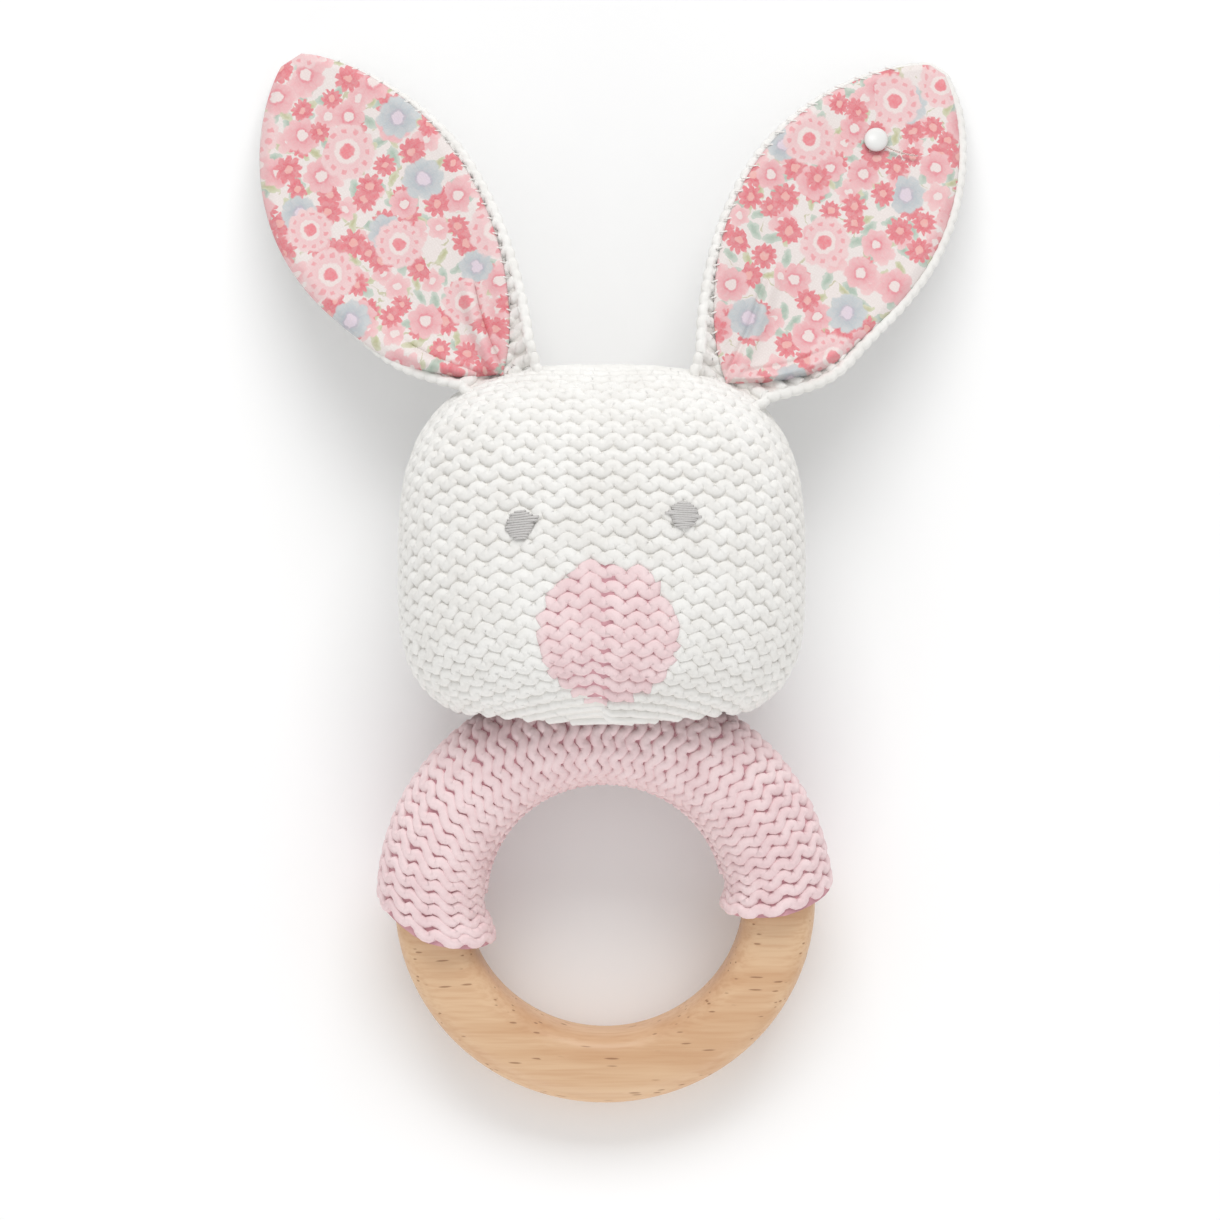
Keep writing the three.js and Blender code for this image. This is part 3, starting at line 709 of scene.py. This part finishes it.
def clear_of_sleeve(points, air):
    """True where points stay out of the room that the sleeve needs as the ring nods."""
    c, s = math.cos(RING_TILT), math.sin(RING_TILT)
    clear = np.ones(points.shape[:-1], bool)
    for k in range(6):
        nod = NECK_NOD * k / 5
        y, z = points[..., 1] - NECK_Y, points[..., 2] - NECK_Z
        y, z = y * math.cos(nod) - z * math.sin(nod), y * math.sin(nod) + z * math.cos(nod)
        y, z = y + NECK_Y, z + NECK_Z - RING_HEIGHT
        y, z = y * c + z * s, -y * s + z * c
        radial = np.hypot(points[..., 0], y)
        angle = np.arctan2(y, points[..., 0])
        near = np.hypot(radial - RING_CENTRELINE, z) < SLEEVE_OUTER + air
        clear &= ~(near & (angle > math.radians(30)) & (angle < math.radians(150)))
    return clear


def in_nose(points, margin=0.0):
    away = np.hypot(points[..., 0] - NOSE_X, points[..., 1] - NOSE_Y)
    return (away < NOSE_RADIUS + margin) & (points[..., 2] > HEAD_Z)


def build_head():
    fabric = head_fabric()
    radius, flat = 1.14, 0.82
    rows = np.arange(fabric.rows) + 0.5
    paths, normals = knit_paths(fabric, rows, radius * flat + 0.05, wave=0.25, square=0.42)
    front = normals[..., 2] > 0.3
    from_seam = paths[..., 0] - NOSE_X
    kink = np.tanh(from_seam / 0.7) * np.exp(-((from_seam / 7) ** 2)) * in_nose(paths, 4.0)
    paths[..., 1] -= 0.6 * kink * front
    paths[..., 2] -= 0.35 * np.exp(-((from_seam / 0.8) ** 2)) * in_nose(paths)
    clear = clear_of_sleeve(paths, 0.5 + radius)
    clear &= np.roll(clear, -1, axis=1)
    nose = in_nose(paths)
    middle = fabric.rows // 2
    for name, part in (("lower", slice(0, middle)), ("upper", slice(middle, None))):
        kept = (clear & ~nose)[part]
        here = (paths[part], normals[part])
        knit = strands(f"head_knit_{name}", *here, radius, WHITE_YARN, closed=True, kept=kept, flat=flat)
        attach(knit, "head", "white_yarn", "head_cover")
    kept = nose & clear
    knit = strands("nose_knit", paths, normals, radius * 0.96, PINK_YARN, closed=True, kept=kept, flat=flat)
    attach(knit, "head", "pink_yarn", "nose_panel")

    points, faces = fabric.lining(HEAD_LINING_DEPTH)
    keep = clear_of_sleeve(points, 0.6)[faces].all(axis=1)
    behind_nose = in_nose(points)[faces].all(axis=1)
    for name, chosen, material, slot_name in (
        ("head_lining", keep & ~behind_nose, WHITE_LINING_PAINTED_SHADE, "white_yarn"),
        ("nose_lining", keep & behind_nose, PINK_LINING_PAINTED_SHADE, "pink_yarn"),
    ):
        lining = cut_out(name, points, faces[chosen], material)
        attach(lining, "head", slot_name)


def build_collar():
    """The cover's edge turned in round the sleeve: the wall of the channel that the sleeve nods in."""
    cuts, sides, end = 80, 96, 24.0
    x = np.linspace(-end, end, cuts + 1)[:, None, None]
    around = full_turn(sides)[None, :, None]
    reach = np.arange(SLEEVE_OUTER, end, 0.15)[None, None, :]
    y, z = NECK_Y + reach * np.cos(around), NECK_Z + reach * np.sin(around)
    points = xyz(x, y, z)
    clear = clear_of_sleeve(points, 0.8)
    clear_beyond = np.logical_and.accumulate(clear[..., ::-1], axis=-1)[..., ::-1]
    first = np.argmax(clear_beyond, axis=-1)
    wall = np.take_along_axis(points, first[..., None, None], axis=2)[:, :, 0]
    width, depth = (np.maximum(half, 0.01) for half in head_row(wall[..., 1], inset=1.3))
    across, deep = np.abs(wall[..., 0] - HEAD_X) / width, np.abs(wall[..., 2] - HEAD_Z) / depth
    inside = (across**ROW_POWER + deep**ROW_POWER < 1.25).ravel()
    faces = grid_faces(cuts, sides, closed=True)
    chosen = faces[inside[faces].all(axis=1)]
    collar = cut_out("neck_collar", wall.reshape(-1, 3), chosen, WHITE_LINING_PAINTED_SHADE)
    attach(collar, "head", "white_yarn")


def build_eyes():
    """Satin stitch: close horizontal threads over a low oval pad, drawn out to a point at each side."""
    threads = 12
    tails = {"left": ((-0.15, 0.5), (0.35, 1.5)), "right": ((0.1, 1.1), (-0.05, 0.7))}
    for name, (x, y) in EYES.items():
        share = (np.arange(threads) + 0.5) / threads * 2 - 1
        half = (EYE_HALF_WIDTH - 0.3) * (1 - share**2) ** 0.45
        ends = []
        for height, reach in tails[name]:
            tail = reach * np.exp(-(((share - height) / 0.16) ** 2))
            ends.append(half + rng.uniform(0.0, 0.3, threads) + tail)
        tall = EYE_HALF_HEIGHT - (0.35 if name == "left" else 0.6)
        t = np.linspace(0, 1, 17)[None, :]
        across = -ends[0][:, None] * (1 - t) + ends[1][:, None] * t
        lean = (0.10 if name == "left" else -0.03) + rng.normal(0, 0.03, threads)[:, None]
        up = share[:, None] * tall + across * lean
        edge = np.where(across < 0, ends[0][:, None], ends[1][:, None])
        bulge = EYE_THICKNESS * np.clip(1 - (across / edge) ** 4 - 0.35 * share[:, None] ** 2, 0, 1)
        px, py = x + across, y + up
        points = xyz(px, py, face_height(px, py) + bulge - 0.2)
        satin = strands(f"eye_{name}_satin", points, upward(points), 0.24, GREY_THREAD, sides=6)
        attach(satin, "head", "grey_thread", f"eye_{name}")


def build_crown_seam():
    """The yarn that closes the crown, whipped back and forth over the slit."""
    turns = 11
    t = np.linspace(0, 1, turns * 10 + 1)
    x = HEAD_X + 13.5 * (2 * t - 1)
    across = 1.5 * np.sin(t * turns * TURN)
    size = 1 - np.abs((x - HEAD_X) / HEAD_HALF_WIDTH) ** CROWN_POWER
    top = HEAD_Y + HEAD_ABOVE * size ** (1 / CROWN_POWER)
    y = top - 0.9 - 0.35 * across**2
    points = xyz(x, y, HEAD_Z + across)[None]
    up = np.broadcast_to(np.array([0.0, 1.0, 0.0]), points.shape)
    seam = strands("crown_seam", points, up, 0.75, WHITE_YARN)
    attach(seam, "head", "white_yarn", "crown_seam_yarn")


def build_neck_seam():
    """The yarn that sews the cover's opening to the sleeve: a loop inside the opening."""
    away, spread, reach = SLEEVE_OUTER + 1.8, math.radians(48), math.radians(17)
    turn = full_turn(240)
    along = math.pi / 2 + reach * np.cos(turn)
    around = spread * np.sin(turn)
    from_core = away + 0.12 * np.sin(26 * turn)
    r = RING_CENTRELINE + from_core * np.cos(around)
    points = ring_place(xyz(r * np.cos(along), r * np.sin(along), from_core * np.sin(around)))
    core = ring_place(xyz(np.cos(along), np.sin(along), 0.0) * RING_CENTRELINE)
    seam = strands("neck_seam", points[None], (points - core)[None], 0.7, WHITE_YARN, closed=True)
    attach(seam, "head", "white_yarn", "neck_seam_yarn")


def build_stuffing():
    """Polyester fibre round the rattle box, lumpy where it was pushed in by the handful."""
    lumps = bpy.data.textures.new("lumps", "CLOUDS")
    lumps.noise_scale = 7.0 * MM
    for side in ("front", "back"):
        node = f"stuffing_{side}"
        fibre = in_scene(f"{node}_fibre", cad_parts[node].data.copy())
        dress(fibre, FIBRE)
        remesh = fibre.modifiers.new("even", "REMESH")
        remesh.mode = "VOXEL"
        remesh.voxel_size = 1.0 * MM
        remesh.use_smooth_shade = True
        settle = fibre.modifiers.new("soften", "SMOOTH")
        settle.iterations = 6
        sink = fibre.modifiers.new("lumps", "DISPLACE")
        sink.texture = lumps
        sink.mid_level = 0.0
        sink.strength = -1.4 * MM
        attach(fibre, "head", "stuffing_fibre", node)


build_head()
build_collar()
build_eyes()
build_crown_seam()
build_neck_seam()
build_stuffing()


# ---------- the sleeve and the ring ----------
def sleeve_fabric():
    levels, columns = SLEEVE_ROWS * 4, SLEEVE_STITCHES * 10
    around = np.linspace(0, TURN, columns + 1)[None, :]
    share = np.linspace(0, 1, levels + 1)[:, None]
    start = SLEEVE_START + SLEEVE_START_SLANT * np.cos(around)
    end = SLEEVE_END + SLEEVE_END_SLANT * np.cos(around)
    along = start + (end - start) * share
    from_end = np.maximum(np.minimum(along - SLEEVE_START, SLEEVE_END - along), 0)
    flare = np.maximum(0, 1 - from_end / SLEEVE_FLARE_LENGTH)
    tube = SLEEVE_OUTER + SLEEVE_FLARE * flare**2
    r = RING_CENTRELINE + tube * np.cos(around)
    points = xyz(r * np.cos(along), r * np.sin(along), tube * np.sin(around))
    return Fabric(ring_place(points)[:, ::-1], SLEEVE_ROWS, SLEEVE_STITCHES, True)


def build_sleeve():
    fabric = sleeve_fabric()
    radius = 0.97
    rows = np.linspace(0.75, SLEEVE_ROWS - 0.75, SLEEVE_ROWS)
    paths, normals = knit_paths(fabric, rows, 0.9, wave=0.26, square=0.38)
    knit = strands("sleeve_knit", paths, normals, radius, PINK_YARN, closed=True, flat=0.88)
    attach(knit, "sleeve", "pink_yarn", "ring_sleeve")
    points, faces = fabric.lining(SLEEVE_LINING_DEPTH)
    lining = mesh_of("sleeve_lining", points, [faces], PINK_LINING_PAINTED_SHADE)
    attach(lining, "sleeve", "pink_yarn")


def build_sleeve_seam():
    """The yarn that closes the sleeve along the inside of the ring."""
    start, end = SLEEVE_START + math.radians(14), SLEEVE_END - math.radians(14)
    turns = 34
    t = np.linspace(0, 1, turns * 8 + 1)
    along = start + (end - start) * t
    swing = np.sin(t * turns * TURN)
    r = RING_CENTRELINE - SLEEVE_OUTER + 0.35 * swing**2
    points = ring_place(xyz(r * np.cos(along), r * np.sin(along), 1.1 * swing))[None]
    inward = np.array([0.0, 0.0, RING_HEIGHT]) - points
    seam = strands("sleeve_seam", points, inward, 0.5, PINK_YARN)
    attach(seam, "sleeve", "pink_yarn", "sleeve_seam_yarn")


def build_ring():
    sides, segments = 40, 144
    around = full_turn(sides)
    c, s = np.cos(around), np.sin(around)
    r = RING_TUBE / (np.abs(c) ** RING_SQUARENESS + np.abs(s) ** RING_SQUARENESS) ** (1 / RING_SQUARENESS)
    along = full_turn(segments)
    radial = RING_CENTRELINE + (r * c)[None, :]
    points = xyz(radial * np.cos(along)[:, None], radial * np.sin(along)[:, None], r * s)
    faces = grid_faces(segments, sides, closed=True)[:, [0, 3, 2, 1]] % (segments * sides)
    wood = mesh_of("wood_ring_turned", ring_place(points).reshape(-1, 3), [faces], WOOD)
    attach(wood, "ring", "beech", "wood_ring")


build_sleeve()
build_sleeve_seam()
build_ring()


# ---------- ears ----------
def leaf(along):
    widest = 0.52
    along = np.clip(along, 0, 1)
    return (along / widest) ** 0.85 * ((1 - along) / (1 - widest)) ** 0.78


def ear_axes(ear):
    lean = math.radians(ear["lean"]) * ear["side"]
    forward = np.array([math.sin(lean), math.cos(lean), 0])
    outward = ear["side"] * np.array([math.cos(lean), -math.sin(lean), 0])
    return forward, outward


def ear_point(ear, along, across, lift):
    """A point of the ear: along from root 0 to tip 1, across, and lift above the middle surface."""
    forward, outward = ear_axes(ear)
    half = ear["outer"] * leaf(np.clip(along, EAR_FROM, 0.995)) + EAR_ROOT
    cup = EAR_CUP_TIP + (EAR_CUP_BASE - EAR_CUP_TIP) * (1 - np.maximum(along, EAR_FROM))
    z = EAR_BASE_HEIGHT + (EAR_TIP_HEIGHT - EAR_BASE_HEIGHT) * along + cup * (across / half) ** 2 + lift
    base = np.array([ear["x"], ear["y"], 0])
    flat = base + (along * ear["length"])[..., None] * forward + np.asarray(across)[..., None] * outward
    return flat + z[..., None] * np.array([0, 0, 1])


def sag(ear, along, side):
    """How far the outer edge hangs out near the root."""
    return ear["belly"] * np.exp(-(((along - 0.16) / 0.11) ** 2)) if side == "outer" else 0.0


def print_edge(ear, along, side):
    return ear[side] * leaf(along) + sag(ear, along, side) + GAP


def cotton_edge(ear, along, side):
    """The cotton's own edge. It starts as a point, and laps over the knitting's outer edge."""
    lap = GAP + sag(ear, along, side) + (ear["roll"] if side == "outer" else 0.0)
    return ear[side] * leaf(along) + lap * smoothstep(COTTON_FROM - 0.001, 0.06, along)


def knit_edge(ear, along, side):
    """The edge of the knitting. Below EAR_FROM it narrows and runs on into the head."""
    shown = np.clip(along, EAR_FROM, 1)
    border, taper = (EAR_OUTER_BORDER, 12) if side == "outer" else (ear["border"], 2.2)
    border = border * np.minimum(1, taper * (1.01 - shown))
    edge = print_edge(ear, shown, side) + border + EAR_ROOT * (1 - shown) ** 6
    return edge * (1 - 2.5 * np.maximum(EAR_FROM - along, 0))


def ear_yarn(name, ear):
    """Rows of knitting across the ear, and the edge yarn that runs round it and covers their ends."""
    radius, flat, depth, edge_radius = 1.1, 0.8, 0.98, 0.9
    rows = int(1.04 * ear["length"] / EAR_ROW)
    alongs = -0.07 + 1.04 * (np.arange(rows) + 0.5) / rows
    steps = int(40 / EAR_STITCH * YARN_STEPS)
    along = np.repeat(alongs[:, None], steps, axis=1)
    share = np.linspace(0, 1, steps)
    inner, outer = knit_edge(ear, along, "inner") - 1.0, knit_edge(ear, along, "outer") - 1.6
    across = -inner + share * (inner + outer)
    phase = across / EAR_STITCH * TURN
    from_edge = np.minimum(across + inner, outer - across)
    wave = 0.5 * smoothstep(-0.5, 5.0, from_edge) * np.cos(phase) + rng.normal(0, 0.06, (rows, 1))
    shift = 0.40 / TURN * EAR_STITCH * np.sin(2 * phase)
    paths = ear_point(ear, along + wave / ear["length"], across + shift, -depth)
    knit = strands(f"ear_{name}_yarn", paths, upward(paths), radius, WHITE_YARN, flat=flat)

    along = -0.11 + 1.095 * (1 - np.cos(np.linspace(0, 1, 260) * math.pi)) / 2
    sides = [
        np.stack([along, edge_radius - knit_edge(ear, along, "inner")]),
        np.stack([along, knit_edge(ear, along, "outer") - edge_radius - 0.4 * ear["roll"]]),
    ]
    outline = np.concatenate([sides[0], sides[1][:, ::-1]], axis=1)
    run = run_along(np.stack([outline[0] * ear["length"], outline[1]], axis=-1))
    turns = int(run[-1] / 2.0)
    even = np.linspace(0, run[-1], turns * 8)
    along, across = np.interp(even, run, outline[0]), np.interp(even, run, outline[1])
    scallop = 0.13 * np.cos(even / run[-1] * turns * TURN)
    across = across + np.sign(across) * scallop
    edge = ear_point(ear, along, across, -depth - 0.1)[None]
    selvedge = strands(f"ear_{name}_edge", edge, upward(edge), edge_radius, WHITE_YARN, flat=0.9)
    return knit, selvedge


def ear_sheet(name, ear, edge, inset, rows, columns, span, lift_at, material):
    """A curved sheet over the ear, edged by one of the ear's outlines."""
    u, v = np.meshgrid(np.linspace(0, 1, rows + 1), np.linspace(0, 1, columns + 1), indexing="ij")
    along = span[0] + (span[1] - span[0]) * (1 - (1 - u) ** 1.3)
    inner, outer = edge(ear, along, "inner") - inset, edge(ear, along, "outer") - inset
    across = -inner + v * (inner + outer)
    from_edge = np.minimum(np.minimum(across + inner, outer - across), (span[1] - along) * ear["length"])
    points = ear_point(ear, along, across, lift_at(along, across, from_edge))
    uvs = np.stack([across + (50 if ear["side"] > 0 else 0), along * ear["length"]], axis=-1).reshape(-1, 2)
    return mesh_of(name, points.reshape(-1, 3), [grid_faces(rows, columns)], material, uvs)


def crease(ear, along, across, start, end, height, width):
    """A rolled fold of the cotton between two points of the ear, with a sharp groove beside it."""
    start, end = np.array(start, float), np.array(end, float)
    way = end - start
    length = np.hypot(*way)
    way = way / length
    x, y = along * ear["length"] - start[0], across - start[1]
    down, aside = x * way[0] + y * way[1], -x * way[1] + y * way[0]
    fade = smoothstep(-1.0, 2.0, down) * (1 - smoothstep(length - 6.0, length, down))
    bow = aside - 0.9 * np.sin(np.clip(down / length, 0, 1) * math.pi)
    roll = height * np.exp(-(((bow - width) / width) ** 2))
    groove = min(0.85 * height, 1.05) * np.exp(-((bow / (0.4 * width)) ** 2))
    return fade * (roll - groove)


def edge_stitches(name, ear):
    """Small slanted stitches that hold the inner edge of the cotton down on the knitting."""
    alongs = np.linspace(0.05, 0.93, 24)[:, None] + rng.normal(0, 0.003, (24, 1))
    t = np.linspace(0, 1, 9)[None, :]
    along = alongs + (t - 0.5) * 0.9 / ear["length"]
    edge = print_edge(ear, along, "inner")
    across = -edge + 1.2 * (t - 0.5)
    lift = 0.05 + 0.45 * np.sin(t * math.pi) ** 0.6 + 0.5 * t
    points = ear_point(ear, along, across, lift)
    return strands(f"ear_{name}_stitches", points, upward(points), 0.14, WHITE_THREAD, sides=6)


def build_ear(name, ear):
    knit, selvedge = ear_yarn(name, ear)

    def lining_lift(*_):
        return EAR_LINING_LIFT

    def print_lift(along, across, from_edge):
        lift = 0.12 + (EAR_AIR + 0.5) * np.sqrt(np.clip(from_edge / 1.4, 0, 1))
        lift = lift - 0.5 * smoothstep(0.0, 3.0, across) * (1 - smoothstep(0.0, 2.0, from_edge))
        soft = 0.22 * np.sin(along * 21 + across * 0.35) * np.sin(across * 0.42 + along * 6)
        lift = lift + soft * smoothstep(0.5, 4.0, from_edge)
        for start, end, height, width in ear["folds"]:
            fold = crease(ear, along, across, start, end, height, width)
            lift = lift + fold * smoothstep(-0.2, 1.4, from_edge)
        return lift

    span = (0.0, 0.97)
    inset = EAR_LINING_INSET
    lining = ear_sheet(f"ear_{name}_lining", ear, knit_edge, inset, 40, 24, span, lining_lift, WHITE_LINING_PAINTED_SHADE)
    span = (COTTON_FROM, COTTON_TO)
    cotton = ear_sheet(f"ear_{name}_floral", ear, cotton_edge, 0.0, 200, 120, span, print_lift, PRINT)
    solid = cotton.modifiers.new("thickness", "SOLIDIFY")
    solid.thickness = COTTON_THICKNESS * MM
    solid.offset = -1

    stitches = edge_stitches(name, ear)
    for piece, slot_name, node in (
        (knit, "white_yarn", "knit"),
        (selvedge, "white_yarn", None),
        (lining, "white_yarn", None),
        (cotton, "floral_cotton", "print"),
        (stitches, "white_thread", "thread"),
    ):
        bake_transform(piece)
        if node is not None:
            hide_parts(f"ear_{name}_{node}")
    for piece, edge, extra in ((lining, knit_edge, [knit, selvedge]), (cotton, cotton_edge, [stitches])):
        along = np.linspace(0.03, 0.985, 200)
        wide = edge(ear, along, "inner") + edge(ear, along, "outer")


def build_tag_pin(ear):
    """The round head of a swing-tag loop that is left on the cotton, and its clear filament."""
    radius, height, sides = 2.0, 1.4, 32
    share = np.array([0.0, 0.3, 0.6, 0.82, 0.95, 1.0, 0.97, 0.9])
    lift = np.array([1.0, 0.98, 0.88, 0.7, 0.48, 0.25, 0.08, 0.0])
    around = full_turn(sides)
    along = TAG_ALONG + radius * share[:, None] * np.sin(around) / ear["length"]
    across = TAG_ACROSS + radius * share[:, None] * np.cos(around)
    up = TAG_LIFT + height * np.repeat(lift[:, None], sides, axis=1)
    points = ear_point(ear, along, across, up).reshape(-1, 3)
    base = (len(share) - 1) * sides + np.arange(sides)[None]
    walls = grid_faces(len(share) - 1, sides, closed=True)[:, ::-1]
    head = mesh_of("tag_pin_head", points, [walls, base], TAG_PLASTIC)

    t = np.linspace(0, 1, 40)
    along = TAG_ALONG + (1.6 * t**2) / ear["length"]
    across = TAG_ACROSS + 0.8 * radius + 5.6 * t
    path = ear_point(ear, along, across, TAG_LIFT + 0.5 + 0.25 * np.sin(math.pi * t))[None]
    filament = strands("tag_pin_filament", path, upward(path), 0.16, CLEAR_NYLON)
    for piece in (head, filament):
        attach(piece, "ear_right", "tag_plastic", "tag_pin")


for ear_name, ear_sizes in EARS.items():
    build_ear(ear_name, ear_sizes)
build_tag_pin(EARS["right"])

# ---------- CAD pieces that keep their shape ----------
for side in ("back", "front"):
    dress(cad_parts[f"rattle_box_{side}"], BOX_PLASTIC)
for number in range(1, 7):
    dress(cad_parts[f"rattle_pellet_{number}"], PELLET_PLASTIC)


# ---------- floor, light and camera ----------
FLOOR_HALF = 4000.0
GLOW_STRENGTH = 0.69
LIGHTS = {"key": ((50, 910, 860), 7.3), "fill": ((-40, -900, 300), 3.0)}  # place and watts
LIGHT_SIZE = (0.9, 0.5)  # metres
LOOK_AT = (0, 48, 0)
CAMERA_PLACE = (0.85, 47.81, 2400)
CAMERA_LENS = 423.0


def build_stage():
    n = Nodes("floor")
    soft = n.noise(n.place(), 3.0, 2.0)
    n.finish(n.tones(soft, "f8f8f8", "fbfbfb"), 0.95)
    points = FLOOR_HALF * np.array([[-1, -1, 0], [1, -1, 0], [1, 1, 0], [-1, 1, 0]])
    floor = mesh_of("floor", points, [np.array([[0, 1, 2, 3]])], n.material)

    world = bpy.data.worlds.new("studio")
    bpy.context.scene.world = world
    world.use_nodes = True
    glow = world.node_tree.nodes["Background"].inputs
    glow["Color"].default_value = (1.0, 1.0, 1.0, 1.0)
    glow["Strength"].default_value = GLOW_STRENGTH

    middle = Vector(placed(LOOK_AT))
    for name, (place, energy) in LIGHTS.items():
        light = bpy.data.lights.new(name, "AREA")
        light.shape = "RECTANGLE"
        light.size, light.size_y = LIGHT_SIZE
        light.energy = energy
        lamp = in_scene(name, light)
        lamp.location = placed(place)
        lamp.rotation_mode = "QUATERNION"
        lamp.rotation_quaternion = (middle - lamp.location).to_track_quat("-Z", "Y")

    camera = bpy.data.cameras.new("camera")
    camera.lens = CAMERA_LENS
    camera.clip_end = 20.0
    eye = in_scene("camera", camera)
    eye.location = placed(CAMERA_PLACE)
    bpy.context.scene.camera = eye
    bpy.context.scene.view_settings.view_transform = "Standard"


build_stage()
